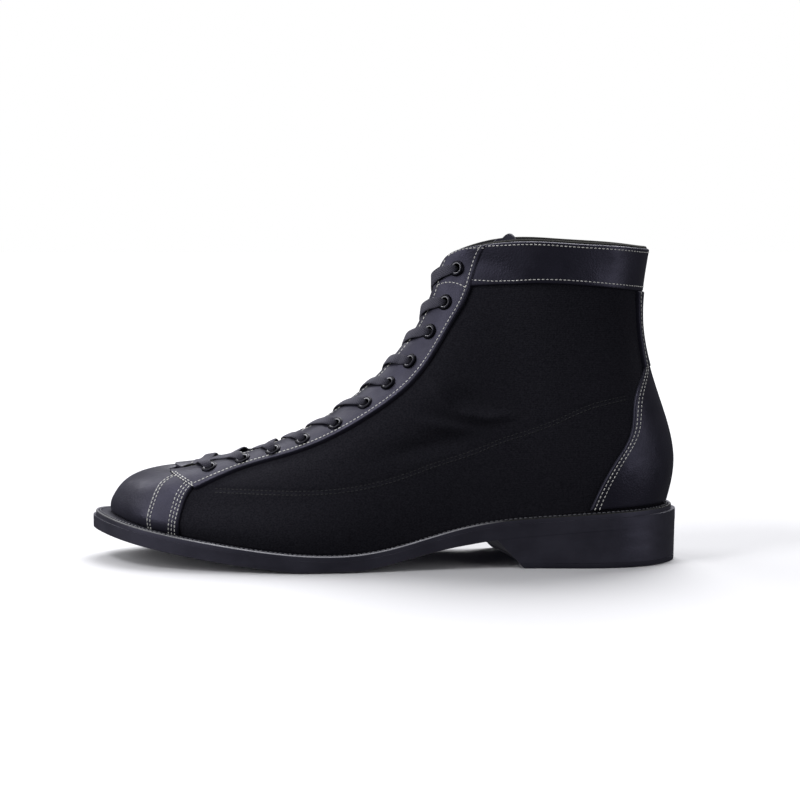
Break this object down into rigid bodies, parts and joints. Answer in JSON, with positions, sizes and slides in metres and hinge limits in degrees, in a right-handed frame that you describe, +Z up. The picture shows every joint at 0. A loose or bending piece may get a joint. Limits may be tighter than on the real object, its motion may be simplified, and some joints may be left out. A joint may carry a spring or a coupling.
{
  "type": "lace-up boot",
  "caption": "Left ankle boot with canvas sides, leather toe cap, eyestays, collar and heel counter, laced nearly to the toe, on a welted rubber sole with a block heel.",
  "frame": {"origin": "on the floor, under the middle of the sole's length and width", "axes": "-X towards the toe, -Y towards the outer side of the foot, +Z up"},
  "size_m": [0.3072, 0.1038, 0.1709],
  "materials": {
    "rubber": "satin",
    "leather": "satin",
    "canvas": "matte",
    "board": "matte",
    "enamel": "gloss",
    "lace": "matte"
  },
  "bodies": {
    "root": {"outsole": "rubber", "heel": "rubber", "welt": "rubber", "insole": "board", "upper": "canvas", "tongue": "canvas", "toe_cap": "leather", "strap_lateral": "leather", "strap_medial": "leather", "eyestay_lateral": "leather", "eyestay_medial": "leather", "collar_band": "leather", "back_strap": "leather", "heel_counter": "leather", "eyelet_lateral_01": "enamel", "eyelet_lateral_02": "enamel", "eyelet_lateral_03": "enamel", "eyelet_lateral_04": "enamel", "eyelet_lateral_05": "enamel", "eyelet_lateral_06": "enamel", "eyelet_lateral_07": "enamel", "eyelet_lateral_08": "enamel", "eyelet_lateral_09": "enamel", "eyelet_lateral_10": "enamel", "eyelet_lateral_11": "enamel", "eyelet_medial_01": "enamel", "eyelet_medial_02": "enamel", "eyelet_medial_03": "enamel", "eyelet_medial_04": "enamel", "eyelet_medial_05": "enamel", "eyelet_medial_06": "enamel", "eyelet_medial_07": "enamel", "eyelet_medial_08": "enamel", "eyelet_medial_09": "enamel", "eyelet_medial_10": "enamel", "eyelet_medial_11": "enamel", "lace_bar": "lace", "lace_cross_01": "lace", "lace_cross_02": "lace", "lace_cross_03": "lace", "lace_cross_04": "lace", "lace_cross_05": "lace", "lace_cross_06": "lace", "lace_cross_07": "lace", "lace_cross_08": "lace", "lace_cross_09": "lace", "lace_cross_10": "lace"}
  },
  "joints": []
}
